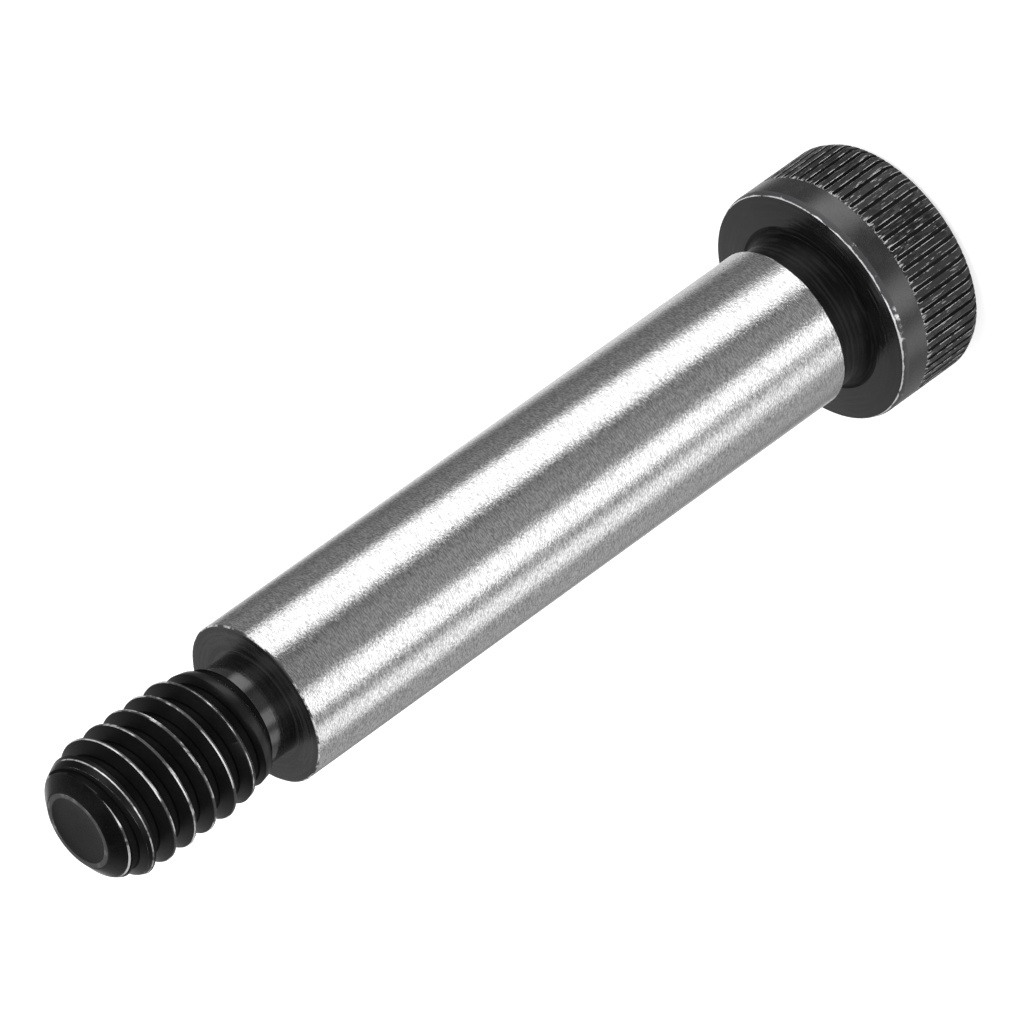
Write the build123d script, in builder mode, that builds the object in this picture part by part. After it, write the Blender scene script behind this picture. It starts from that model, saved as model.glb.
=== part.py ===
from build123d import *
from math import hypot, radians, tan
import os

os.makedirs("parts", exist_ok=True)

# A socket head shoulder bolt, one piece of steel, standing on its head.
# The origin is the centre of the head's top face, and +Z runs along the bolt
# towards its threaded tip. Sizes are in millimetres, angles in degrees.
inch = 25.4

# Head
head_diameter = 13.96
head_height = inch / 4
top_face_diameter = 11.90
top_chamfer_height = 0.43
knurl_chamfer_width = 0.26
knurl_chamfer_height = 0.57
bearing_edge_width = 0.10
bearing_edge_height = 0.30

# Straight knurl around the head, which stops short of the bearing face
knurl_groove_count = 68
knurl_groove_width = 0.26
knurl_groove_depth = 0.16
knurl_runout_length = 0.35
plain_band_width = 1.82

# Hexagon socket in the top face, with a drilled point below it
socket_across_flats = inch * 3 / 16
socket_depth = 3.60
socket_point_angle = 118.0
socket_mouth_diameter = 5.80
socket_mouth_angle = 90.0

# Neck between the head and the shoulder
head_neck_diameter = 8.80
head_neck_width = 2.22
head_neck_fillet = 0.60

# Ground shoulder, its length taken from the bearing face
shoulder_diameter = 9.45
shoulder_length = inch * 1.625

# Neck between the shoulder and the thread
thread_neck_diameter = 5.95
thread_neck_width = 1.65

# Right-hand thread, its length taken from the shoulder's end
threads_per_inch = 18
thread_diameter = 7.79
thread_length = 12.55
thread_angle = 60.0
thread_depth = 0.80
thread_crest_width = 0.13
thread_turn_angle = 12.0
groove_start_gap = 0.15

# Rolled crests start low beside the neck and rise to the full diameter
thread_start_diameter = 6.80
thread_start_height = 0.40
thread_start_rise = 2.30

# They fall again towards the chamfered and slightly dished tip
thread_end_diameter = 6.36
thread_end_fall = 1.50
tip_chamfer_height = 0.62
tip_face_diameter = 4.55
tip_dish_diameter = 4.00
tip_dish_depth = 0.22

# Radii
head_radius = head_diameter / 2
top_face_radius = top_face_diameter / 2
socket_mouth_radius = socket_mouth_diameter / 2
head_neck_radius = head_neck_diameter / 2
shoulder_radius = shoulder_diameter / 2
thread_neck_radius = thread_neck_diameter / 2
thread_radius = thread_diameter / 2
thread_start_radius = thread_start_diameter / 2
thread_end_radius = thread_end_diameter / 2
tip_face_radius = tip_face_diameter / 2
tip_dish_radius = tip_dish_diameter / 2

# Heights of the faces, counted from the head's top
knurl_chamfer_z = top_chamfer_height + knurl_chamfer_height
bearing_z = head_height
shoulder_start_z = bearing_z + head_neck_width
shoulder_end_z = bearing_z + shoulder_length
thread_start_z = shoulder_end_z + thread_neck_width
thread_blank_z = thread_start_z + thread_start_height
thread_full_z = thread_blank_z + thread_start_rise
tip_z = shoulder_end_z + thread_length
tip_chamfer_z = tip_z - tip_chamfer_height
thread_fall_z = tip_chamfer_z - thread_end_fall

# Thread groove: a V with a flat root, as wide at the crests as the pitch leaves it
thread_pitch = inch / threads_per_inch
flank_slope = tan(radians(thread_angle / 2))
groove_half_width = (thread_pitch - thread_crest_width) / 2
root_half_width = groove_half_width - thread_depth * flank_slope
groove_clear = thread_crest_width / 2
outer_half_width = groove_half_width + groove_clear * flank_slope
turning_radius = thread_radius + groove_clear

# The groove starts past the shoulder and ends in bar that is turned off beyond the tip
groove_start_z = shoulder_end_z + outer_half_width + groove_start_gap
groove_end_z = tip_z + outer_half_width
bar_end_z = groove_end_z + outer_half_width + groove_start_gap

with BuildPart() as thread_groove:
    with BuildLine() as groove_helix:
        Helix(
            pitch=thread_pitch,
            height=groove_end_z - groove_start_z,
            radius=thread_radius,
            center=(0, 0, groove_start_z),
        )
    with BuildSketch(Plane.XZ):
        with Locations((thread_radius, groove_start_z)):
            Polygon(
                (groove_clear, -outer_half_width),
                (-thread_depth, -root_half_width),
                (-thread_depth, root_half_width),
                (groove_clear, outer_half_width),
                align=None,
            )
    sweep(path=groove_helix.line, is_frenet=True)

# One knurl groove: a straight V from the top face, which runs out at the plain band
knurl_end_z = bearing_z - plain_band_width
knurl_root_radius = head_radius - knurl_groove_depth
knurl_outer_radius = head_radius + knurl_groove_depth
runout_slope_length = hypot(knurl_groove_depth, knurl_runout_length)

with BuildPart() as knurl_groove:
    with BuildSketch():
        Polygon(
            (knurl_root_radius, 0),
            (knurl_outer_radius, -knurl_groove_width),
            (knurl_outer_radius, knurl_groove_width),
            align=None,
        )
    extrude(amount=knurl_end_z - knurl_runout_length)
    full_section = knurl_groove.faces().sort_by(Axis.Z)[-1]
    extrude(full_section, amount=runout_slope_length, dir=(knurl_groove_depth, 0, knurl_runout_length))

# Cone below the socket and cone of its mouth, from their angles
socket_radius = socket_across_flats / 2
socket_point_depth = socket_radius / tan(radians(socket_point_angle / 2))
socket_mouth_depth = socket_mouth_radius / tan(radians(socket_mouth_angle / 2))

with BuildPart() as shoulder_bolt:
    # Turned blank: head, neck, shoulder and the plain bar that takes the thread
    with BuildSketch(Plane.XZ):
        with BuildLine():
            Polyline(
                (0, 0),
                (top_face_radius, 0),
                (head_radius - knurl_chamfer_width, top_chamfer_height),
                (head_radius, knurl_chamfer_z),
                (head_radius, bearing_z - bearing_edge_height),
                (head_radius - bearing_edge_width, bearing_z),
                (head_neck_radius, bearing_z),
                (head_neck_radius, shoulder_start_z),
                (shoulder_radius, shoulder_start_z),
                (shoulder_radius, shoulder_end_z),
                (thread_radius, shoulder_end_z),
                (thread_radius, bar_end_z),
                (0, bar_end_z),
                close=True,
            )
        make_face()
    revolve(axis=Axis.Z)

    # Fillet under the head
    rings = shoulder_bolt.edges().filter_by(GeomType.CIRCLE)
    bearing_foot = rings.filter_by_position(Axis.Z, bearing_z, bearing_z).sort_by(SortBy.RADIUS)[0]
    fillet(bearing_foot, radius=head_neck_fillet)

    # Hexagon socket with its mouth chamfer and drilled point
    with BuildSketch():
        RegularPolygon(radius=socket_radius, side_count=6, major_radius=False)
    extrude(amount=socket_depth, mode=Mode.SUBTRACT)
    with BuildSketch(Plane.XZ):
        Polygon((0, 0), (socket_mouth_radius, 0), (0, socket_mouth_depth), align=None)
        Polygon(
            (0, socket_depth),
            (socket_radius, socket_depth),
            (0, socket_depth + socket_point_depth),
            align=None,
        )
    revolve(axis=Axis.Z, mode=Mode.SUBTRACT)

    # Knurl
    with PolarLocations(0, knurl_groove_count):
        add(knurl_groove.part, mode=Mode.SUBTRACT)

    # Thread, then its two ends: the neck with the first low crests, and the tip
    add(thread_groove.part, rotation=(0, 0, thread_turn_angle), mode=Mode.SUBTRACT)
    with BuildSketch(Plane.XZ):
        Polygon(
            (turning_radius, shoulder_end_z),
            (thread_neck_radius, shoulder_end_z),
            (thread_neck_radius, thread_start_z),
            (thread_start_radius, thread_blank_z),
            (thread_radius, thread_full_z),
            (turning_radius, thread_full_z),
            align=None,
        )
        Polygon(
            (turning_radius, thread_fall_z),
            (thread_radius, thread_fall_z),
            (thread_end_radius, tip_chamfer_z),
            (tip_face_radius, tip_z),
            (tip_dish_radius, tip_z),
            (0, tip_z - tip_dish_depth),
            (0, bar_end_z),
            (turning_radius, bar_end_z),
            align=None,
        )
    revolve(axis=Axis.Z, mode=Mode.SUBTRACT)

shoulder_bolt.part.label = "shoulder_bolt"
export_step(shoulder_bolt.part, "parts/shoulder_bolt.step")
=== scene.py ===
import math

import bmesh
import bpy
from mathutils import Matrix, Vector


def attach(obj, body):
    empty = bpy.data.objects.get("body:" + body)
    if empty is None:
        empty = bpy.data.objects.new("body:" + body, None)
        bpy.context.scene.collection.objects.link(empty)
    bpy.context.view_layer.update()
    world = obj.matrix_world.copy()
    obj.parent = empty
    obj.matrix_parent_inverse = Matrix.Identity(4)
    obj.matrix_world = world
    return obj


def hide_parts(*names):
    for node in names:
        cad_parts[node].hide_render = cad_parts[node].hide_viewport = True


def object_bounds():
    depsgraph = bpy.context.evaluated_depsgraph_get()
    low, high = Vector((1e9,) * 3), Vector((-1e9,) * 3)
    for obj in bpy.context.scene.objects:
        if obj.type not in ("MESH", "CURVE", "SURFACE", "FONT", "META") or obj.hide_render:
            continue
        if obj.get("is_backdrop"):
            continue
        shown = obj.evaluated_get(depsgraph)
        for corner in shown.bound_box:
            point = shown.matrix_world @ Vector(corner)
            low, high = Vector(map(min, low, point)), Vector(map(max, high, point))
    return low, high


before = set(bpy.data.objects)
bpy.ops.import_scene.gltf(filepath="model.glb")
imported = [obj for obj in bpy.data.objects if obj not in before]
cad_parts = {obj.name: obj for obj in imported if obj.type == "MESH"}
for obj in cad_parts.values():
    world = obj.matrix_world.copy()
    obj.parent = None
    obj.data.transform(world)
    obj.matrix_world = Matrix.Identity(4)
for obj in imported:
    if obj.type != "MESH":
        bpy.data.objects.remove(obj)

bl_info = {
    "name": "Shoulder Bolt Maker",
    "version": (1, 0, 0),
    "blender": (4, 5, 0),
    "location": "3D View > Sidebar > Bolt",
    "description": "Models a socket head shoulder bolt piece by piece, with its finishes and a plain stage",
    "category": "Add Mesh",
}

MM = 0.001
FULL_TURN = math.tau
WHITE = (1.0, 1.0, 1.0, 1.0)
CAD_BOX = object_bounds()
BOLT_NODE = "shoulder_bolt"
BODY = "root"

# Points closer than this are merged
WELD = 1e-7

# A face is level where its normal runs along the axis by more than this share
LEVEL = 0.95


# Sizes and colours

def length(name, description, size):
    """A size in the panel. It is written in millimetres and kept in metres."""
    return bpy.props.FloatProperty(
        name=name, description=description, default=size * MM, min=0.0, precision=5, unit="LENGTH"
    )


def angle(name, description, size):
    """An angle in the panel, written in degrees."""
    return bpy.props.FloatProperty(
        name=name, description=description, default=math.radians(size), precision=2, unit="ROTATION"
    )


def colour(name, description, value):
    """A colour in the panel."""
    return bpy.props.FloatVectorProperty(
        name=name, description=description, default=value, size=3, min=0.0, max=1.0, subtype="COLOR"
    )


class HeadSizes(bpy.types.PropertyGroup):
    """Sizes of the knurled head, its socket and the neck above it."""

    radius: length("Radius", "Radius over the knurl", 6.98)
    height: length("Height", "Head height up to the bearing face", 6.35)
    top_radius: length("Top face radius", "Radius of the flat top face", 5.95)
    top_chamfer: length("Top chamfer", "Height of the chamfer next to the top face", 0.43)
    knurl_chamfer: length("Knurl chamfer width", "How far the knurl is chamfered in", 0.26)
    knurl_chamfer_top: length("Knurl chamfer end", "Height at which the knurl is full", 1.00)
    edge_width: length("Bearing edge width", "Width of the chamfer round the bearing face", 0.10)
    edge_height: length("Bearing edge height", "Height of that chamfer", 0.30)
    neck_radius: length("Neck radius", "Radius of the neck between head and shoulder", 4.40)
    neck_end: length("Neck end", "Height at which the neck meets the shoulder", 8.57)
    neck_fillet: length("Neck fillet", "Radius of the fillet under the head", 0.60)
    groove_count: bpy.props.IntProperty(
        name="Knurl grooves", description="Grooves around the head", default=68, min=3
    )
    groove_depth: length("Groove depth", "Depth of a knurl groove", 0.16)
    groove_width: length("Groove width", "Width of a knurl groove at the surface", 0.26)
    groove_end: length("Groove end", "Height at which a groove has run out", 4.55)
    groove_runout: length("Groove run-out", "Length over which a groove runs out", 0.11)
    lip_width: length("Groove lip", "Width of the worn lip along each groove", 0.055)
    socket_flats: length("Socket across flats", "Width of the hexagon socket", 4.7625)
    socket_depth: length("Socket depth", "Depth of the hexagon socket", 3.60)
    mouth_radius: length("Socket mouth radius", "Radius of the chamfer at the socket's mouth", 2.90)
    drill_angle: angle("Drill point", "Angle of the drilled point below the socket", 118.0)


class ShoulderSizes(bpy.types.PropertyGroup):
    """Sizes of the ground shoulder."""

    radius: length("Radius", "Radius of the ground shoulder", 4.725)
    start: length("Start", "Height at which the shoulder starts", 8.57)
    end: length("End", "Height of the face that the thread starts from", 47.625)
    edge_break: length("Edge break", "Width of the broken edge at each end", 0.07)


class ThreadSizes(bpy.types.PropertyGroup):
    """Sizes of the threaded end."""

    radius: length("Radius", "Radius over the crests", 3.895)
    depth: length("Depth", "Depth of the thread groove", 0.80)
    pitch: length("Pitch", "Distance from one crest to the next", 25.4 / 18)
    crest_width: length("Crest width", "Width of a crest", 0.13)
    crest_seam: length("Crest seam", "Depth of the rolled seam along a crest", 0.022)
    flank_angle: angle("Thread angle", "Angle between two flanks", 60.0)
    groove_height: length("Groove height", "Height of the first groove's middle", 48.453)
    turn: angle("Thread turn", "Where the groove starts around the bolt", 12.0)
    neck_radius: length("Neck radius", "Radius of the neck below the thread", 2.975)
    neck_end: length("Neck end", "Height at which the neck ends", 49.275)
    start_radius: length("First crest radius", "Radius of the first low crest", 3.40)
    start_height: length("First crest height", "Height at which the low crests start", 49.675)
    full_height: length("Full crest height", "Height from which the crests are full", 51.975)
    fall_height: length("Falling crest height", "Height from which the crests fall", 58.055)
    end_radius: length("Last crest radius", "Radius where the tip chamfer starts", 3.18)
    chamfer_height: length("Tip chamfer height", "Height at which the tip chamfer starts", 59.555)
    tip_radius: length("Tip face radius", "Radius of the tip's face", 2.275)
    dish_radius: length("Dish radius", "Radius of the dished middle of the tip", 2.00)
    dish_depth: length("Dish depth", "Depth of the dish", 0.22)
    tip_height: length("Tip height", "Height of the tip's face", 60.175)


class Finishes(bpy.types.PropertyGroup):
    """Colours of the finishes."""

    oxide: colour("Black oxide", "Blackened steel", (0.011, 0.011, 0.012))
    oxide_light: colour("Rubbed oxide", "Blackened steel where it is rubbed or dusty", (0.050, 0.050, 0.053))
    # Bare steel along worn edges, painted brighter than steel is so that it also stands in for glints:
    # partly wear, partly painted highlight
    bare: colour("Bare edge", "Steel that shows along worn edges", (0.88, 0.88, 0.89))
    steel_light: colour("Ground steel", "Lighter grain of the ground shoulder", (0.86, 0.86, 0.87))
    steel_dark: colour("Dark grain", "Darker grain of the ground shoulder", (0.34, 0.335, 0.34))
    floor: colour("Floor", "Floor and backdrop", (0.90, 0.90, 0.90))


# Small tools for modelling as by hand

def clear_selection():
    """Leaves edit mode and deselects everything."""
    if bpy.context.object and bpy.context.object.mode != "OBJECT":
        bpy.ops.object.mode_set(mode="OBJECT")
    bpy.ops.object.select_all(action="DESELECT")


def work_on(piece):
    """Selects one piece alone and makes it active."""
    clear_selection()
    piece.select_set(True)
    bpy.context.view_layer.objects.active = piece


def weld_in_edit_mode(piece):
    """Goes into edit mode on a piece and merges its doubles."""
    work_on(piece)
    bpy.ops.object.mode_set(mode="EDIT")
    bpy.ops.mesh.select_all(action="SELECT")
    bpy.ops.mesh.remove_doubles(threshold=WELD)


def close_up():
    """Merges doubles and turns every face outwards."""
    bpy.ops.mesh.select_all(action="SELECT")
    bpy.ops.mesh.remove_doubles(threshold=WELD)
    bpy.ops.mesh.normals_make_consistent(inside=False)


def name_piece(name):
    """Names the active object and its mesh."""
    piece = bpy.context.object
    piece.name = name
    piece.data.name = name
    return piece


def pick(kind, test):
    """Selects in edit mode the edges or faces that pass the test, and nothing else."""
    bpy.ops.mesh.select_mode(type=kind)
    bpy.ops.mesh.select_all(action="DESELECT")
    form = bmesh.from_edit_mesh(bpy.context.edit_object.data)
    chosen = [part for part in (form.edges if kind == "EDGE" else form.faces) if test(part)]
    if not chosen:
        raise RuntimeError(f"nothing to pick on {bpy.context.edit_object.name}")
    for part in chosen:
        part.select_set(True)
    form.select_flush_mode()
    bmesh.update_edit_mesh(bpy.context.edit_object.data)


def radius_of(point):
    """Distance from the bolt's axis, or how much of a normal lies across it."""
    return math.hypot(point.x, point.y)


def face_radius(face):
    """Distance of a face's middle from the bolt's axis."""
    return radius_of(face.calc_center_median())


def face_height(face):
    """Height of a face's middle."""
    return face.calc_center_median().z


def outward(face):
    """How squarely a face looks away from the axis: 1 on a cylinder, 0 on a level face."""
    middle = face.calc_center_median()
    return (face.normal.x * middle.x + face.normal.y * middle.y) / max(radius_of(middle), WELD)


def is_level(face):
    """Whether a face lies square to the axis."""
    return abs(face.normal.z) > LEVEL


def is_plain(face):
    """Whether a face still has its piece's first finish."""
    return face.material_index == 0


def ring(radius, height, slack=0.004 * MM):
    """A test for the edges of one ring around the axis."""
    def test(edge):
        return all(
            abs(radius_of(v.co) - radius) < slack and abs(v.co.z - height) < slack for v in edge.verts
        )
    return test


def draw_profile(name, points):
    """Draws a half section in the XZ plane by extruding one vertex from point to point."""
    clear_selection()
    bpy.ops.mesh.primitive_plane_add(size=MM, location=(points[0][0], 0.0, points[0][1]))
    name_piece(name)
    bpy.ops.object.transform_apply(location=True, rotation=True, scale=True)
    bpy.ops.object.mode_set(mode="EDIT")
    bpy.ops.mesh.select_mode(type="VERT")
    bpy.ops.mesh.select_all(action="SELECT")
    bpy.ops.mesh.merge(type="CENTER")
    for before, after in zip(points, points[1:]):
        step = (after[0] - before[0], 0.0, after[1] - before[1])
        bpy.ops.mesh.extrude_vertices_move(TRANSFORM_OT_translate={"value": step})
    return bpy.context.object


def turn_solid(name, points, steps):
    """Turns a half section that starts and ends on the axis into a closed solid, left in edit mode."""
    piece = draw_profile(name, points)
    bpy.ops.mesh.select_all(action="SELECT")
    bpy.ops.mesh.spin(steps=steps, angle=FULL_TURN, center=(0.0, 0.0, 0.0), axis=(0.0, 0.0, 1.0))
    close_up()
    return piece


def combine(piece, cutter, operation):
    """Cuts a piece with another or keeps what they share, and removes the other."""
    work_on(piece)
    bpy.ops.object.modifier_add(type="BOOLEAN")
    modifier = piece.modifiers[-1]
    modifier.object = cutter
    modifier.operation = operation
    modifier.solver = "EXACT"
    bpy.ops.object.modifier_apply(modifier=modifier.name)
    bpy.data.meshes.remove(cutter.data)


def add_finishes(piece, *finishes):
    """Gives a piece its finishes, the first on every face."""
    for finish in finishes:
        piece.data.materials.append(finish)


def finish_number(finish_name):
    """The place of a finish in the list of the piece being edited."""
    return bpy.context.edit_object.data.materials.keys().index(finish_name)


def paint_faces(finish_name, test):
    """Gives the faces that pass the test another finish."""
    pick("FACE", test)
    bpy.context.object.active_material_index = finish_number(finish_name)
    bpy.ops.object.material_slot_assign()


def break_edges(test, width, segments=1, finish_name=None, clamped=False):
    """Bevels the edges that pass the test, in a finish of their own where one is named."""
    pick("EDGE", test)
    bpy.ops.mesh.bevel(
        offset=width,
        offset_type="OFFSET",
        segments=segments,
        affect="EDGES",
        material=finish_number(finish_name) if finish_name else -1,
        clamp_overlap=clamped,
    )


def break_corners(corners, widths, segments):
    """Rounds the turned edges at the corners of an outline."""
    for (radius, height), width in zip(corners, widths):
        break_edges(ring(radius, height), width, segments)


def settle(piece, smooth_angle):
    """Smooths a finished piece, checks that it is closed, and puts it in the frame."""
    work_on(piece)
    bpy.ops.object.mode_set(mode="EDIT")
    form = bmesh.from_edit_mesh(piece.data)
    open_edges = sum(1 for edge in form.edges if not edge.is_manifold)
    bpy.ops.object.mode_set(mode="OBJECT")
    if open_edges:
        raise RuntimeError(f"{piece.name} has {open_edges} open edges")
    bpy.ops.object.shade_smooth_by_angle(angle=smooth_angle)
    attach(piece, BODY)
    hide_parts(BOLT_NODE)


# Shader nodes

class Nodes:
    """A tree of shader nodes, which are added one after another."""

    def __init__(self, tree):
        self.tree = tree

    def node(self, kind, inputs=None, **settings):
        """Adds a node, with its settings and its inputs as numbers or links."""
        made = self.tree.nodes.new(kind)
        for key, value in settings.items():
            setattr(made, key, value)
        for key, value in (inputs or {}).items():
            self.feed(made.inputs[key], value)
        return made

    def feed(self, socket, value):
        """Sets a socket, or links another node's output to it."""
        if isinstance(value, bpy.types.NodeSocket):
            self.tree.links.new(value, socket)
        else:
            socket.default_value = value

    def math(self, operation, first, second=0.0):
        """One sum on two values."""
        return self.node("ShaderNodeMath", {0: first, 1: second}, operation=operation).outputs["Value"]

    def ramp(self, value, low, high, to_low=0.0, to_high=1.0):
        """Maps a value from one range to another, with soft ends."""
        inputs = {"Value": value, "From Min": low, "From Max": high, "To Min": to_low, "To Max": to_high}
        made = self.node("ShaderNodeMapRange", inputs, interpolation_type="SMOOTHSTEP")
        return made.outputs["Result"]

    def mix(self, factor, first, second):
        """Goes from one number to another."""
        made = self.node("ShaderNodeMix", {"Factor": factor, "A": first, "B": second}, data_type="FLOAT")
        return made.outputs["Result"]


class Finish(Nodes):
    """A material and its nodes."""

    def __init__(self, name):
        self.material = bpy.data.materials.new(name)
        self.material.use_nodes = True
        super().__init__(self.material.node_tree)
        self.shader = self.tree.nodes["Principled BSDF"]
        self.place = self.node("ShaderNodeTexCoord").outputs["Object"]

    def split(self):
        """Object coordinates as three numbers: X, Y and Z."""
        return self.node("ShaderNodeSeparateXYZ", {"Vector": self.place}).outputs

    def scaled(self, scale):
        """Object coordinates stretched along the axes."""
        mapping = self.node("ShaderNodeMapping", {"Vector": self.place, "Scale": scale})
        return mapping.outputs["Vector"]

    def noise(self, scale, detail=3.0, roughness=0.5, vector=None):
        """Noise at so many grains to the metre."""
        inputs = {"Vector": vector or self.place, "Scale": scale, "Detail": detail, "Roughness": roughness}
        return self.node("ShaderNodeTexNoise", inputs).outputs["Fac"]

    def stretched_noise(self, scale, detail, roughness):
        """Noise with its own number of grains to the metre along each axis."""
        return self.noise(1.0, detail, roughness, self.scaled(scale))

    def blend(self, factor, first, second):
        """Mixes two colours."""
        made = self.node("ShaderNodeMix", {"Factor": factor}, data_type="RGBA")
        for key, shade in (("A", first), ("B", second)):
            linked = isinstance(shade, bpy.types.NodeSocket)
            self.feed(made.inputs[key], shade if linked else (*shade, 1.0))
        return made.outputs["Result"]

    def bump(self, height, distance, strength=1.0, below=None):
        """Raises the surface by a height that runs from 0 to 1."""
        inputs = {"Height": height, "Distance": distance, "Strength": strength}
        if below is not None:
            inputs["Normal"] = below
        return self.node("ShaderNodeBump", inputs).outputs["Normal"]

    def wear(self, **inputs):
        """Feeds the shader."""
        for key, value in inputs.items():
            self.feed(self.shader.inputs[key.replace("_", " ")], value)


# Finishes

def darker(share, shade):
    """A colour at a share of its strength."""
    return [share * part for part in shade]


def turned_rings(finish, scale):
    """Fine broken tool marks: rings along the height of a neck, and along the radius of a face."""
    drift = finish.math("MULTIPLY", finish.noise(450.0, 2.0, 0.5), 0.6 * MM)
    place = finish.split()
    squares = [finish.math("MULTIPLY", place[axis], place[axis]) for axis in ("X", "Y")]
    reach = finish.math("SQRT", finish.math("ADD", *squares))
    along = finish.node("ShaderNodeCombineXYZ", {"X": reach, "Y": place["Z"], "Z": drift})
    return finish.noise(scale, 2.0, 0.6, along.outputs["Vector"])


def oxide_finish(
    name, colours, rings=0.0, roughness=0.30, gloss=1.0, rubbed=0.25, dark=1.0, cut=0.030, marked=0.7
):
    """Black oxide, with a fine grain, or with tool marks where it was turned.

    Rings are the tool marks to the metre, cut is their depth in millimetres, and marked how much they show.
    """
    finish = Finish(name)
    oxide = darker(dark, colours.oxide)
    light = darker(dark, colours.oxide_light)
    patches = finish.ramp(finish.noise(420.0, 3.0, 0.6), 0.42, 0.66, 0.0, rubbed)
    grain = finish.noise(9000.0, 2.0, 0.6)
    specks = finish.ramp(finish.noise(14000.0, 1.0, 0.5), 0.62, 0.74, 0.0, 0.6)
    tone = finish.blend(patches, oxide, light)
    tone = finish.blend(specks, tone, light)
    normal = finish.bump(grain, 0.005 * MM, 0.5)
    if rings:
        marks = turned_rings(finish, rings)
        tone = finish.blend(finish.ramp(marks, 0.44, 0.64, 0.0, marked), tone, light)
        normal = finish.bump(marks, cut * MM, 0.9, normal)
    finish.wear(
        Base_Color=tone,
        Roughness=finish.ramp(grain, 0.25, 0.75, roughness - 0.04, roughness + 0.06),
        Specular_IOR_Level=gloss,
        Normal=normal,
    )
    return finish.material


def knurl_finish(name, colours, runout):
    """The knurl's tops: oxide rubbed in fine lines, with bare specks, and more bright specks by the run-outs
    as painted glints.
    """
    finish = Finish(name)
    lines = finish.stretched_noise((9000.0, 9000.0, 1800.0), 3.0, 0.65)
    patches = finish.ramp(finish.noise(330.0, 2.0, 0.5), 0.40, 0.66)
    share = finish.ramp(patches, 0.0, 1.0, 0.35, 1.0)
    rubbed = finish.math("MULTIPLY", finish.ramp(lines, 0.46, 0.62), share)
    tone = finish.blend(rubbed, darker(0.5, colours.oxide), colours.oxide_light)
    # Painted glints: bright specks come more often towards the run-outs, where the grooves' ends catch the
    # light
    runout_glint = finish.ramp(finish.split()["Z"], runout - 0.5 * MM, runout - 0.1 * MM, 0.0, 0.10)
    specks = finish.math("ADD", finish.stretched_noise((8500.0, 8500.0, 1200.0), 3.0, 0.6), runout_glint)
    bright = finish.ramp(specks, 0.635, 0.69)
    finish.wear(
        Base_Color=finish.blend(bright, tone, darker(0.5, colours.bare)),
        Roughness=finish.ramp(lines, 0.3, 0.7, 0.30, 0.48),
        Specular_IOR_Level=0.32,
        Normal=finish.bump(lines, 0.024 * MM, 0.9),
    )
    return finish.material


def rub_bare_and_paint_glint(finish, rubbed, oxide, bare, dull):
    """Lets bare steel show where the oxide is rubbed off, in a colour bright enough to be a painted
    highlight as well.
    """
    finish.wear(
        Base_Color=finish.blend(rubbed, oxide, bare),
        Metallic=finish.ramp(rubbed, 0.0, 1.0, 0.0, 0.45),
        Roughness=finish.ramp(rubbed, 0.0, 1.0, dull, 0.30),
        Normal=finish.bump(finish.noise(9000.0, 2.0, 0.6), 0.006 * MM, 0.8),
    )


def worn_edge_and_highlight_finish(name, colours, scale, low, high, fade=None, patchy=0.0):
    """An edge where the oxide is rubbed off in places and bare steel shows, bright enough to be a painted
    highlight as well.

    A fade is a height, a distance and a loss: the wear is fullest at that height, and less below it.
    """
    finish = Finish(name)
    wear = finish.noise(scale, 4.0, 0.65)
    if patchy:
        long_patches = finish.ramp(finish.noise(scale / 3.0, 2.0, 0.5), 0.38, 0.58, patchy, 0.0)
        wear = finish.math("SUBTRACT", wear, long_patches)
    if fade:
        height, reach, loss = fade
        below = finish.math("SUBTRACT", height, finish.split()["Z"])
        wear = finish.math("SUBTRACT", wear, finish.ramp(below, 0.0, reach, 0.0, loss))
    rub_bare_and_paint_glint(finish, finish.ramp(wear, low, high), colours.oxide_light, colours.bare, 0.40)
    return finish.material


def low_crest_finish(name, colours, size):
    """The turned tops of the low crests: oxide, rubbed bare in places along their middle."""
    finish = Finish(name)
    place = finish.split()
    around = finish.math("ARCTAN2", place["Y"], place["X"])
    climb = finish.math("MULTIPLY", around, size.pitch / FULL_TURN)
    start = size.groove_height - size.pitch * size.turn / FULL_TURN
    above = finish.math("SUBTRACT", finish.math("SUBTRACT", place["Z"], climb), start)
    offset = finish.math("SUBTRACT", finish.math("FLOORED_MODULO", above, size.pitch), size.pitch / 2)
    waver = finish.math("MULTIPLY", finish.noise(2600.0, 3.0, 0.6), 0.06 * MM)
    away = finish.math("ADD", finish.math("ABSOLUTE", offset), waver)
    line = finish.ramp(away, 0.040 * MM, 0.078 * MM, 1.0, 0.0)
    patches = finish.ramp(finish.noise(620.0, 4.0, 0.65), 0.42, 0.62, 0.06, 0.9)
    past_neck = finish.ramp(place["Z"], size.start_height + 0.8 * MM, size.start_height + 1.6 * MM)
    rubbed = finish.math("MULTIPLY", finish.math("MULTIPLY", line, patches), past_neck)
    rub_bare_and_paint_glint(finish, rubbed, darker(0.45, colours.oxide), colours.bare, 0.34)
    finish.wear(Specular_IOR_Level=0.30)
    return finish.material


def ground_finish(name, colours):
    """Ground steel, its short fine streaks running around the shoulder."""
    finish = Finish(name)
    streaks = finish.stretched_noise((3000.0, 3000.0, 18000.0), 2.0, 0.6)
    grit = finish.stretched_noise((7000.0, 7000.0, 17000.0), 1.0, 0.5)
    clouds = finish.stretched_noise((260.0, 260.0, 500.0), 2.0, 0.5)
    both = finish.math("ADD", finish.math("MULTIPLY", streaks, 0.6), finish.math("MULTIPLY", grit, 0.4))
    dullness = finish.ramp(streaks, 0.3, 0.7, 0.11, 0.17)
    finish.wear(
        Base_Color=finish.blend(finish.ramp(both, 0.34, 0.66), colours.steel_dark, colours.steel_light),
        Metallic=1.0,
        Roughness=finish.math("ADD", dullness, finish.ramp(clouds, 0.3, 0.7, -0.02, 0.02)),
        Normal=finish.bump(grit, 0.012 * MM, 0.8, finish.bump(streaks, 0.012 * MM, 0.5)),
    )
    return finish.material


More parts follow.
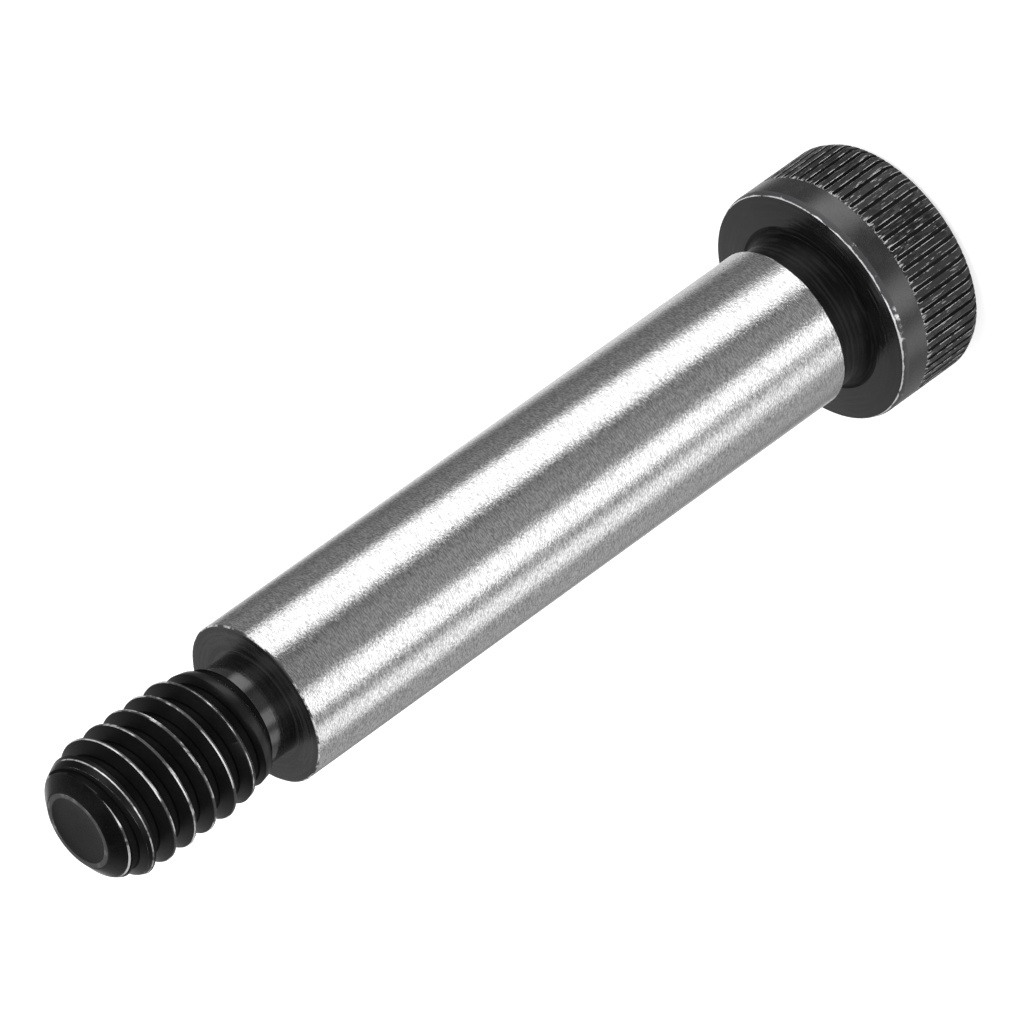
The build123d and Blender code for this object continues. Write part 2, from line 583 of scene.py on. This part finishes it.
def floor_finish(name, colours, glow):
    """Matt white that glows a little for the camera, and is clear from below."""
    finish = Finish(name)
    cloth = finish.ramp(finish.noise(40.0, 2.0, 0.5), 0.3, 0.7, 0.0, 0.2)
    rays = finish.node("ShaderNodeLightPath")
    finish.wear(
        Base_Color=finish.blend(cloth, colours.floor, darker(0.98, colours.floor)),
        Roughness=1.0,
        Specular_IOR_Level=0.0,
        Emission_Color=WHITE,
        Emission_Strength=finish.math("MULTIPLY", rays.outputs["Is Camera Ray"], glow),
    )
    clear = finish.node("ShaderNodeBsdfTransparent")
    seen_from_below = finish.node("ShaderNodeNewGeometry").outputs["Backfacing"]
    sides = {0: seen_from_below, 1: finish.shader.outputs["BSDF"], 2: clear.outputs["BSDF"]}
    cloth_or_clear = finish.node("ShaderNodeMixShader", sides)
    finish.feed(finish.tree.nodes["Material Output"].inputs["Surface"], cloth_or_clear.outputs["Shader"])
    return finish.material


# Operators

class BOLT_OT_head(bpy.types.Operator):
    """Turns the head and its neck, and cuts the knurl and the hexagon socket"""

    bl_idname = "bolt.head"
    bl_label = "Knurled head"
    bl_options = {"REGISTER", "UNDO"}

    sides = 272
    fillet_steps = 6
    smooth_angle = math.radians(32.0)

    # How far the neck stands in the head and in the shoulder
    overlap = 0.3 * MM

    # Broken edges of the turned blank, from the top face to the bearing face
    corner_breaks = (0.05 * MM, 0.08 * MM, 0.10 * MM, 0.05 * MM, 0.035 * MM)

    # The plain band starts this far past the grooves
    band_gap = 0.03 * MM

    # The grooves run on over the knurl's chamfer, by this many times its size
    lead_in = 1.35

    # The cutters start outside the head, and the drill inside the hexagon
    socket_lead = 0.1 * MM
    drill_lead = 0.02 * MM
    drill_share = 0.97

    # A face of the knurl that looks outwards less than this is a flank, and flanks end in sharp lips
    flank_slant = 0.78
    lip_angle = math.radians(12.0)

    # How far finishes reach past the knurl's ends, and below and inside the bearing edge
    knurl_reach = (0.12 * MM, 0.01 * MM)
    edge_reach = (0.06 * MM, 0.03 * MM)

    def execute(self, context):
        size = context.scene.bolt_head
        colours = context.scene.bolt_finishes
        head = self.turn_blank(size)
        for cutter in self.socket_cutters(size):
            combine(head, cutter, "DIFFERENCE")
        combine(head, self.knurl_cutter(size), "DIFFERENCE")
        # The lips' bare wear is fullest at the run-outs and less towards the top face: partly wear, partly a
        # painted glint where the grooves' ends catch the light
        lip_glint_fade = (size.groove_end, 0.45 * MM, 0.13)
        # The bearing edge's bare wear is fullest at the bearing face: partly wear, partly a painted
        # highlight along the edge
        edge_highlight_fade = (size.height, 0.12 * MM, 0.25)
        add_finishes(
            head,
            oxide_finish("satin_black_oxide", colours, rubbed=0.45, roughness=0.25, gloss=0.8),
            oxide_finish("turned_black_oxide", colours, rings=5200.0, roughness=0.18, dark=0.35, marked=0.3),
            worn_edge_and_highlight_finish("worn_knurl_edge_and_glint", colours, 1500.0, 0.30, 0.38, fade=lip_glint_fade, patchy=0.05),
            worn_edge_and_highlight_finish("worn_bearing_edge_and_highlight", colours, 900.0, 0.34, 0.44, fade=edge_highlight_fade, patchy=0.04),
            # Painted shade: the grooves are oxide darkened almost to black, with little gloss, for the shade
            # that falls in them
            oxide_finish("knurl_groove_painted_shade", colours, roughness=0.50, gloss=0.08, rubbed=0.0, dark=0.2),
            knurl_finish("rubbed_knurl", colours, size.groove_end),
        )
        self.finish_faces(head, size)
        settle(head, self.smooth_angle)
        head.visible_glossy = False
        neck = self.turn_neck(size)
        # Painted shade: the neck under the head is darkened, since the head, hidden from reflections, no
        # longer darkens what the neck reflects
        add_finishes(neck, oxide_finish(
            "ringed_neck_painted_shade", colours, rings=6500.0, roughness=0.38, gloss=0.10, dark=0.3, marked=1.0
        ))
        settle(neck, self.smooth_angle)
        return {"FINISHED"}

    def turn_blank(self, size):
        """The head as a turned blank with its broken edges."""
        corners = (
            (size.top_radius, 0.0),
            (size.radius - size.knurl_chamfer, size.top_chamfer),
            (size.radius, size.knurl_chamfer_top),
            (size.radius, size.height - size.edge_height),
            (size.radius - size.edge_width, size.height),
        )
        band_start = (size.radius, size.groove_end + self.band_gap)
        outline = ((0.0, 0.0), *corners[:3], band_start, *corners[3:], (0.0, size.height))
        head = turn_solid("knurled_head", outline, self.sides)
        break_corners(corners, self.corner_breaks, 2)
        return head

    def turn_neck(self, size):
        """The neck with its fillet, its two ends standing in the head and in the shoulder."""
        foot = size.neck_radius + size.neck_fillet
        root = size.height - self.overlap
        end = size.neck_end + self.overlap
        fillet = []
        for step in range(self.fillet_steps + 1):
            bend = math.radians(90.0 * step / self.fillet_steps)
            rise = size.neck_fillet * (1.0 - math.cos(bend))
            fillet.append((foot - size.neck_fillet * math.sin(bend), size.height + rise))
        outline = [(0.0, root), (foot, root), *fillet, (size.neck_radius, end), (0.0, end)]
        return turn_solid("head_neck", outline, self.sides)

    def knurl_cutter(self, size):
        """One V-shaped cutter with its run-out, copied around the head."""
        clear_selection()
        straight_end = size.groove_end - size.groove_runout
        start = size.knurl_chamfer_top
        # Three sides make a prism 1.5 radii deep, and wider by the root of 3
        radius = 2 * size.groove_depth / 1.5
        bpy.ops.mesh.primitive_cylinder_add(
            vertices=3,
            radius=1.0,
            depth=straight_end - start,
            location=(size.radius - size.groove_depth + radius, 0.0, (straight_end + start) / 2),
            rotation=(0.0, 0.0, math.radians(90.0)),
        )
        cutter = name_piece("knurl_cutter")
        cutter.scale = (2 * size.groove_width / math.sqrt(3.0), radius, 1.0)
        bpy.ops.object.transform_apply(location=True, rotation=True, scale=True)
        bpy.ops.object.mode_set(mode="EDIT")
        drop = self.lead_in * (size.knurl_chamfer_top - size.top_chamfer)
        runout = (size.groove_depth, 0.0, size.groove_runout)
        over_chamfer = (-self.lead_in * size.knurl_chamfer, 0.0, -drop)
        for side, move in ((1, runout), (-1, over_chamfer)):
            pick("FACE", lambda face: side * face.normal.z > LEVEL)
            bpy.ops.mesh.extrude_region_move(TRANSFORM_OT_translate={"value": move})
        bpy.ops.mesh.select_all(action="SELECT")
        copies = size.groove_count - 1
        bpy.ops.mesh.spin(
            steps=copies,
            dupli=True,
            angle=FULL_TURN * copies / size.groove_count,
            center=(0.0, 0.0, 0.0),
            axis=(0.0, 0.0, 1.0),
        )
        return cutter

    def socket_cutters(self, size):
        """The socket's mouth, the hexagon and the drilled point below it."""
        apothem = size.socket_flats / 2
        start = -self.socket_lead
        mouth = size.mouth_radius - start
        clear_selection()
        bpy.ops.mesh.primitive_cone_add(
            vertices=self.sides // 2, radius1=mouth, depth=mouth, location=(0.0, 0.0, start + mouth / 2)
        )
        yield name_piece("mouth_cutter")
        half_side = math.radians(30.0)
        clear_selection()
        bpy.ops.mesh.primitive_cylinder_add(
            vertices=6,
            radius=apothem / math.cos(half_side),
            depth=size.socket_depth - start,
            location=(0.0, 0.0, (size.socket_depth + start) / 2),
            rotation=(0.0, 0.0, half_side),
        )
        yield name_piece("hexagon_cutter")
        spread = math.tan(size.drill_angle / 2)
        drill_radius = self.drill_share * apothem + self.drill_lead * spread
        point = drill_radius / spread
        clear_selection()
        bpy.ops.mesh.primitive_cone_add(
            vertices=self.sides // 4,
            radius1=drill_radius,
            depth=point,
            location=(0.0, 0.0, size.socket_depth - self.drill_lead + point / 2),
        )
        yield name_piece("drill_cutter")

    def finish_faces(self, head, size):
        """Breaks the knurl's lips, and gives the faces their finishes."""
        knurl_start = size.top_chamfer - self.knurl_reach[0]
        knurl_end = size.groove_end + self.knurl_reach[1]
        knurl_floor = size.radius - size.knurl_chamfer - 2 * size.groove_depth
        edge_start = size.height - size.edge_height - self.edge_reach[0]
        edge_floor = size.radius - size.edge_width - self.edge_reach[1]

        def on_knurl(face):
            return knurl_start < face_height(face) < knurl_end and face_radius(face) > knurl_floor

        def is_flank(face):
            return on_knurl(face) and outward(face) < self.flank_slant and not is_level(face)

        def is_lip(edge):
            if not edge.is_manifold or edge.calc_face_angle_signed() < self.lip_angle:
                return False
            flanks = [is_flank(face) for face in edge.link_faces]
            return flanks[0] != flanks[1]

        def on_bearing_edge(face):
            return face_height(face) > edge_start and face_radius(face) > edge_floor and not is_level(face)

        weld_in_edit_mode(head)
        break_edges(is_lip, size.lip_width, finish_name="worn_knurl_edge_and_glint", clamped=True)
        paint_faces("knurl_groove_painted_shade", lambda face: is_plain(face) and is_flank(face))
        paint_faces("rubbed_knurl", lambda face: is_plain(face) and on_knurl(face))
        paint_faces("turned_black_oxide", is_level)
        paint_faces("worn_bearing_edge_and_highlight", on_bearing_edge)
        bpy.ops.object.mode_set(mode="OBJECT")


class BOLT_OT_shoulder(bpy.types.Operator):
    """Models the ground shoulder with its broken edges and turned end faces"""

    bl_idname = "bolt.shoulder"
    bl_label = "Ground shoulder"
    bl_options = {"REGISTER", "UNDO"}

    sides = 256
    smooth_angle = math.radians(30.0)

    # A very shallow turned step on each end face
    step_width = 0.35 * MM
    step_depth = 0.01 * MM

    def execute(self, context):
        size = context.scene.bolt_shoulder
        colours = context.scene.bolt_finishes
        clear_selection()
        bpy.ops.mesh.primitive_cylinder_add(
            vertices=self.sides,
            radius=size.radius,
            depth=size.end - size.start,
            location=(0.0, 0.0, (size.start + size.end) / 2),
        )
        shoulder = name_piece("ground_shoulder")
        bpy.ops.object.transform_apply(location=True, rotation=True, scale=True)
        add_finishes(
            shoulder,
            ground_finish("ground_steel_grain", colours),
            oxide_finish("turned_shoulder_face", colours, rings=6500.0, roughness=0.22, dark=0.8),
            worn_edge_and_highlight_finish("worn_shoulder_edge", colours, 900.0, 0.46, 0.60),
        )
        bpy.ops.object.mode_set(mode="EDIT")
        for height in (size.start, size.end):
            break_edges(ring(size.radius, height), size.edge_break, 2, "worn_shoulder_edge")
        paint_faces("turned_shoulder_face", is_level)
        bpy.ops.mesh.inset(thickness=self.step_width, depth=0.0)
        bpy.ops.mesh.inset(thickness=self.step_width, depth=-self.step_depth)
        bpy.ops.object.mode_set(mode="OBJECT")
        settle(shoulder, self.smooth_angle)
        return {"FINISHED"}


class BOLT_OT_thread(bpy.types.Operator):
    """Rolls the thread, and turns its neck and its dished tip"""

    bl_idname = "bolt.thread"
    bl_label = "Threaded end"
    bl_options = {"REGISTER", "UNDO"}

    # Steps to a turn of the thread, its turns in all, and those below the first groove
    steps = 120
    turns = 13
    turns_below = 3
    smooth_angle = math.radians(38.0)

    # The neck's width, and how far it stands in the shoulder
    neck_width = 1.65 * MM
    overlap = 0.3 * MM

    # Room between the crests and what turns them
    clear = 0.055 * MM

    # The bar is cut off this far below the neck's end and above the tip
    spare_bar = (2.6 * MM, 0.5 * MM)

    # Rounding of the root as a share of half its width, and its corner as shares of that
    root_softness = 0.45
    root_corner = (0.35, 0.25)

    # Points on a flank: shares of the root's rounding, then depths below the crest
    flank_start = (1.6, 2.0)
    flank_end = (0.060 * MM, 0.035 * MM)

    # Points from a crest's edge to its seam: depth below the crest, and distance from the edge
    crest_rounding = ((0.008 * MM, 0.003 * MM), (0.0, 0.020 * MM), (0.004 * MM, 0.043 * MM))

    # Roundings at the chamfer, the tip's face and the dish
    tip_rounds = (0.16 * MM, 0.12 * MM, 0.12 * MM)

    # Edges that turning leaves on the low crests: their break and their least angle
    turned_break = 0.045 * MM
    turned_angle = math.radians(28.0)

    # They keep clear of the neck and the tip, and of the root and the full crests
    end_gaps = (0.1 * MM, 0.25 * MM)
    depth_gaps = (0.2 * MM, 0.075 * MM)

    # A low crest's top looks outwards more than this, and a crest's two sides meet within this
    crest_slant = 0.85
    seam_slack = 0.001 * MM

    # How deep the finishes of root and crest go, and how far those of the tip's edges
    root_reach = 0.14 * MM
    crest_reach = 0.045 * MM
    chamfer_gap = 0.1 * MM
    edge_reach = 0.06 * MM
    rim_reach = (0.03 * MM, 0.2 * MM)
    rim_depth = 0.15 * MM

    def execute(self, context):
        size = context.scene.bolt_thread
        colours = context.scene.bolt_finishes
        thread = self.rolled_bar(size)
        combine(thread, self.turned_envelope(size), "INTERSECT")
        add_finishes(
            thread,
            oxide_finish("thread_black_oxide", colours, roughness=0.32, gloss=0.38, rubbed=0.15, dark=0.4),
            oxide_finish(
                "turned_thread_neck", colours, rings=6000.0, roughness=0.13, gloss=0.9, rubbed=0.1, dark=0.6,
                cut=0.005, marked=0.2,
            ),
            worn_edge_and_highlight_finish("worn_crest_and_highlight", colours, 620.0, 0.34, 0.54, patchy=0.22),
            oxide_finish("smooth_tip", colours, roughness=0.24, gloss=0.22, rubbed=0.45, dark=0.32),
            worn_edge_and_highlight_finish("worn_tip_edge", colours, 900.0, 0.36, 0.60, patchy=0.08),
            worn_edge_and_highlight_finish("rubbed_crest_side", colours, 500.0, 0.46, 0.60, patchy=0.10),
            # Painted shade: the thread's roots are oxide darkened almost to black, for the shade that falls
            # in the valleys
            oxide_finish("thread_root_painted_shade", colours, roughness=0.50, gloss=0.08, rubbed=0.0, dark=0.25),
            worn_edge_and_highlight_finish("rubbed_tip_rim", colours, 1400.0, 0.42, 1.10, patchy=0.12),
            low_crest_finish("low_crest_black", colours, size),
        )
        self.finish_faces(thread, size)
        settle(thread, self.smooth_angle)
        return {"FINISHED"}

    def groove_section(self, size):
        """Half section of one pitch, from the middle of a root over the crest to the next root."""
        slope = math.tan(size.flank_angle / 2)
        root = size.radius - size.depth
        crest_edge = size.pitch / 2 - size.crest_width / 2
        half_root = crest_edge - size.depth * slope
        soft = half_root * self.root_softness
        corner_up, corner_along = self.root_corner
        section = [
            (root, soft - half_root),
            (root, half_root - soft),
            (root + corner_up * soft, half_root + corner_along * soft),
        ]
        straight = [root + share * soft for share in self.flank_start]
        straight += [size.radius - depth for depth in self.flank_end]
        section += [(radius, half_root + (radius - root) * slope) for radius in straight]
        section += [(size.radius - depth, crest_edge + along) for depth, along in self.crest_rounding]
        section.append((size.radius - size.crest_seam, size.pitch / 2))
        other_side = [(radius, size.pitch - height) for radius, height in section[-2:0:-1]]
        return section + other_side + [(root, size.pitch - half_root + soft)]

    def rolled_bar(self, size):
        """One pitch of the section, screwed along the axis and cut off square at both ends."""
        base = size.groove_height - self.turns_below * size.pitch
        section = self.groove_section(size)
        bar = draw_profile("threaded_end", [(radius, base + height) for radius, height in section])
        bpy.ops.mesh.select_all(action="SELECT")
        bpy.ops.transform.rotate(value=-size.turn, orient_axis="Z", center_override=(0.0, 0.0, 0.0))
        bpy.ops.object.mode_set(mode="OBJECT")
        bpy.ops.object.modifier_add(type="SCREW")
        screw = bar.modifiers[-1]
        screw.axis = "Z"
        screw.angle = FULL_TURN
        screw.screw_offset = size.pitch
        screw.iterations = self.turns
        screw.steps = self.steps
        screw.render_steps = self.steps
        screw.use_smooth_shade = False
        bpy.ops.object.modifier_apply(modifier=screw.name)
        weld_in_edit_mode(bar)
        bottom = size.neck_end - self.spare_bar[0]
        top = size.tip_height + self.spare_bar[1]
        for height, is_bottom in ((bottom, True), (top, False)):
            bpy.ops.mesh.select_all(action="SELECT")
            bpy.ops.mesh.bisect(
                plane_co=(0.0, 0.0, height),
                plane_no=(0.0, 0.0, 1.0),
                use_fill=True,
                clear_inner=is_bottom,
                clear_outer=not is_bottom,
                threshold=WELD,
            )
        close_up()
        return bar

    def turned_envelope(self, size):
        """What turning leaves: the neck, the rising and falling crests, the chamfer and the dish."""
        outer = size.radius + self.clear
        foot = size.neck_end - self.neck_width - self.overlap
        rise = (size.full_height - size.start_height) / (size.radius - size.start_radius)
        fall = (size.chamfer_height - size.fall_height) / (size.radius - size.end_radius)
        tip_corners = (
            (size.end_radius, size.chamfer_height),
            (size.tip_radius, size.tip_height),
            (size.dish_radius, size.tip_height),
        )
        envelope = turn_solid("turned_envelope", (
            (0.0, foot),
            (size.neck_radius, foot),
            (size.neck_radius, size.neck_end),
            (size.start_radius, size.start_height),
            (outer, size.full_height + rise * self.clear),
            (outer, size.fall_height - fall * self.clear),
            *tip_corners,
            (0.0, size.tip_height - size.dish_depth),
        ), self.steps * 2)
        break_corners(tip_corners, self.tip_rounds, 3)
        bpy.ops.object.mode_set(mode="OBJECT")
        return envelope

    def crest_offset(self, point, size):
        """How far a point lies towards the tip from the middle of the nearest crest."""
        around = (math.atan2(point.y, point.x) - size.turn) / FULL_TURN
        middle = size.groove_height + size.pitch * (around + 0.5)
        return (point.z - middle + size.pitch / 2) % size.pitch - size.pitch / 2

    def finish_faces(self, thread, size):
        """Breaks the turned crests, and gives crests, roots, neck and tip their finishes."""
        root = size.radius - size.depth
        root_top = root + self.root_reach
        crest_floor = size.radius - self.crest_reach
        rim_start = size.dish_radius - self.rim_reach[0]
        rim_end = size.dish_radius + self.rim_reach[1]

        def is_turned_edge(edge):
            return edge.is_manifold and edge.calc_face_angle_signed() > self.turned_angle and all(
                size.neck_end + self.end_gaps[0] < v.co.z < size.tip_height - self.end_gaps[1]
                and root + self.depth_gaps[0] < radius_of(v.co) < size.radius - self.depth_gaps[1]
                for v in edge.verts
            )

        def is_root(face):
            on_thread = size.neck_end < face_height(face) < size.chamfer_height
            return is_plain(face) and on_thread and face_radius(face) < root_top

        def is_low_crest(face):
            return (
                size.neck_end < face_height(face) < size.chamfer_height - self.chamfer_gap
                and root_top < face_radius(face) < size.radius
                and radius_of(face.normal) > self.crest_slant
            )

        def is_crest(face):
            return face_radius(face) > crest_floor

        def is_tip_side(face):
            return self.crest_offset(face.calc_center_median(), size) > -self.seam_slack

        def is_chamfer_edge(face):
            return (
                abs(face_height(face) - size.chamfer_height) < self.edge_reach
                and abs(face_radius(face) - size.end_radius) < self.edge_reach
                and face.normal.z > 0.0
            )

        def is_rim(face):
            at_tip = face_height(face) > size.tip_height - self.rim_depth
            return at_tip and rim_start < face_radius(face) < rim_end

        weld_in_edit_mode(thread)
        break_edges(is_turned_edge, self.turned_break, finish_name="worn_tip_edge", clamped=True)
        paint_faces("turned_thread_neck", lambda face: face_height(face) < size.neck_end)
        paint_faces("smooth_tip", lambda face: (
            is_plain(face) and face_height(face) > size.chamfer_height + self.chamfer_gap
        ))
        paint_faces("thread_root_painted_shade", is_root)
        paint_faces("low_crest_black", is_low_crest)
        paint_faces("rubbed_crest_side", is_crest)
        # The half of each crest towards the tip gets the brighter bare finish, the other half a dimmer one:
        # partly wear, partly a painted highlight along the crests
        paint_faces("worn_crest_and_highlight", lambda face: is_crest(face) and is_tip_side(face))
        paint_faces("rubbed_tip_rim", is_rim)
        paint_faces("worn_tip_edge", is_chamfer_edge)
        bpy.ops.object.mode_set(mode="OBJECT")


class BOLT_OT_stage(bpy.types.Operator):
    """Sets the floor, the lamps, the surroundings and the camera"""

    bl_idname = "bolt.stage"
    bl_label = "Stage"
    bl_options = {"REGISTER", "UNDO"}

    # Tall lights around the bolt: heading, half width and soft edge in degrees, then strength
    strips = (
        (-33.5, 12.0, 18.0, 1.76),
        (-92.0, 10.0, 22.0, 0.17),
        (-127.0, 7.0, 15.0, 1.54),
        (-172.0, 5.0, 15.0, 0.88),
        (-190.0, 40.0, 25.0, 0.26),
        (80.0, 8.0, 30.0, 0.72),
        (10.0, 2.0, 26.0, 0.08),
    )

    # The light between them, the camera's white backdrop, and the plain light for all else
    surround = 0.20
    backdrop = 1.0
    plain_light = 0.44

    # The tall lights stand below the horizon, and reach up by a share on the camera's side
    horizon = 0.10
    near_side = (-0.10, -0.50)
    near_share = 0.6

    # Above the horizon it is dark, but for a soft wall behind the bolt
    wall_side = (0.35, 0.80)
    wall_light = (0.04, 0.35)

    floor_size = 6.0
    floor_cuts = 8
    floor_glow = 0.62

    # Lamps: name, place and diameter in metres, then power
    lamps = (
        ("key_lamp", (0.45, -0.30, 0.45), 0.45, 2.4),
        ("side_lamp", (-0.40, -0.45, 0.30), 0.40, 1.6),
        ("back_lamp", (0.10, 0.50, 0.60), 0.50, 1.2),
    )
    lamp_target = Vector((0.0, 0.0, 30.0 * MM))

    # The photograph's camera, fitted to the bolt's rings: right, up and back, then place and lens
    camera_axes = (
        (-0.581649, -0.402277, -0.707006),
        (0.813438, -0.288387, -0.505124),
        (-0.000691, -0.868909, 0.494968),
    )
    camera_place = (0.0, -0.45643, 0.28861)
    camera_lens = 351.95
    camera_sensor = 36.0
    camera_range = (0.01, 20.0)

    def execute(self, context):
        self.light_surroundings(context.scene)
        self.add_floor(context)
        self.add_lamps()
        self.add_camera(context)
        context.scene.view_settings.view_transform = "Standard"
        return {"FINISHED"}

    def light_surroundings(self, scene):
        """A white surround for the camera, tall lights for reflections, and plain light for the rest."""
        world = bpy.data.worlds.new("studio")
        scene.world = world
        world.use_nodes = True
        world.node_tree.nodes.clear()
        sky = Nodes(world.node_tree)
        direction = sky.node("ShaderNodeTexCoord").outputs["Generated"]
        flat = sky.node("ShaderNodeVectorMath", {0: direction, 1: (1.0, 1.0, 0.0)}, operation="MULTIPLY")
        around = sky.node("ShaderNodeVectorMath", {0: flat.outputs["Vector"]}, operation="NORMALIZE")
        tall_lights = self.surround
        for heading, half_width, soft, strength in self.strips:
            turn = math.radians(heading)
            middle = (math.cos(turn), math.sin(turn), 0.0)
            facing = sky.node(
                "ShaderNodeVectorMath", {0: around.outputs["Vector"], 1: middle}, operation="DOT_PRODUCT"
            )
            away = sky.math("ARCCOSINE", facing.outputs["Value"])
            outer = math.radians(half_width + soft)
            strip = sky.ramp(away, outer, math.radians(half_width), 0.0, strength)
            tall_lights = sky.math("ADD", strip, tall_lights)
        place = sky.node("ShaderNodeSeparateXYZ", {"Vector": direction}).outputs
        below = sky.ramp(place["Z"], self.horizon, -self.horizon)
        nearer = sky.ramp(place["Y"], *self.near_side, 0.0, self.near_share)
        wall = sky.ramp(place["Y"], *self.wall_side, *self.wall_light)
        reflected = sky.mix(sky.math("MAXIMUM", below, nearer), wall, tall_lights)
        rays = sky.node("ShaderNodeLightPath").outputs
        mirrored = sky.math("MAXIMUM", rays["Is Glossy Ray"], rays["Is Transmission Ray"])
        lit = sky.mix(mirrored, self.plain_light, reflected)
        shown = sky.mix(rays["Is Camera Ray"], lit, self.backdrop)
        background = sky.node("ShaderNodeBackground", {"Color": WHITE, "Strength": shown})
        sky.node("ShaderNodeOutputWorld", {"Surface": background.outputs["Background"]})

    def add_floor(self, context):
        """A wide white floor that keeps the bolt's soft shadow."""
        clear_selection()
        bpy.ops.mesh.primitive_plane_add(size=self.floor_size, location=(0.0, 0.0, 0.0))
        floor = name_piece("floor")
        bpy.ops.object.mode_set(mode="EDIT")
        bpy.ops.mesh.subdivide(number_cuts=self.floor_cuts)
        bpy.ops.object.mode_set(mode="OBJECT")
        add_finishes(floor, floor_finish("white_floor", context.scene.bolt_finishes, self.floor_glow))
        floor.visible_glossy = False
        floor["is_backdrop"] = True

    def add_lamps(self):
        """Broad soft lamps above the bolt, aimed at its middle."""
        for name, place, size, power in self.lamps:
            aim = (self.lamp_target - Vector(place)).to_track_quat("-Z", "Y").to_euler()
            clear_selection()
            bpy.ops.object.light_add(type="AREA", location=place, rotation=aim)
            lamp = name_piece(name)
            lamp.data.shape = "DISK"
            lamp.data.size = size
            lamp.data.energy = power
            lamp.visible_glossy = False

    def add_camera(self, context):
        """The camera of the photograph, which sees the standing bolt at a slant."""
        turn = Matrix(self.camera_axes).transposed().to_euler()
        clear_selection()
        bpy.ops.object.camera_add(location=self.camera_place, rotation=turn)
        camera = bpy.context.object
        camera.name = "photo_camera"
        camera.data.lens = self.camera_lens
        camera.data.sensor_width = self.camera_sensor
        camera.data.clip_start, camera.data.clip_end = self.camera_range
        context.scene.camera = camera


class BOLT_PT_panel(bpy.types.Panel):
    """Lists the bolt's pieces and their sizes"""

    bl_label = "Shoulder bolt"
    bl_idname = "BOLT_PT_panel"
    bl_space_type = "VIEW_3D"
    bl_region_type = "UI"
    bl_category = "Bolt"

    def draw(self, context):
        for operator, group in (
            ("bolt.head", "bolt_head"),
            ("bolt.shoulder", "bolt_shoulder"),
            ("bolt.thread", "bolt_thread"),
            ("bolt.stage", "bolt_finishes"),
        ):
            box = self.layout.box()
            box.operator(operator)
            sizes = getattr(context.scene, group)
            for name in sizes.__annotations__:
                box.prop(sizes, name)


GROUPS = {
    "bolt_head": HeadSizes,
    "bolt_shoulder": ShoulderSizes,
    "bolt_thread": ThreadSizes,
    "bolt_finishes": Finishes,
}
CLASSES = (
    *GROUPS.values(),
    BOLT_OT_head,
    BOLT_OT_shoulder,
    BOLT_OT_thread,
    BOLT_OT_stage,
    BOLT_PT_panel,
)


def register():
    for made in CLASSES:
        bpy.utils.register_class(made)
    for name, group in GROUPS.items():
        setattr(bpy.types.Scene, name, bpy.props.PointerProperty(type=group))


def unregister():
    for name in GROUPS:
        delattr(bpy.types.Scene, name)
    for made in reversed(CLASSES):
        bpy.utils.unregister_class(made)


def main():
    register()
    bpy.ops.bolt.head()
    bpy.ops.bolt.shoulder()
    bpy.ops.bolt.thread()
    bpy.ops.bolt.stage()
    boxes = {"cad": CAD_BOX, "visual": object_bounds()}
    {name: [list(corner) for corner in box] for name, box in boxes.items()}


if __name__ == "__main__":
    main()
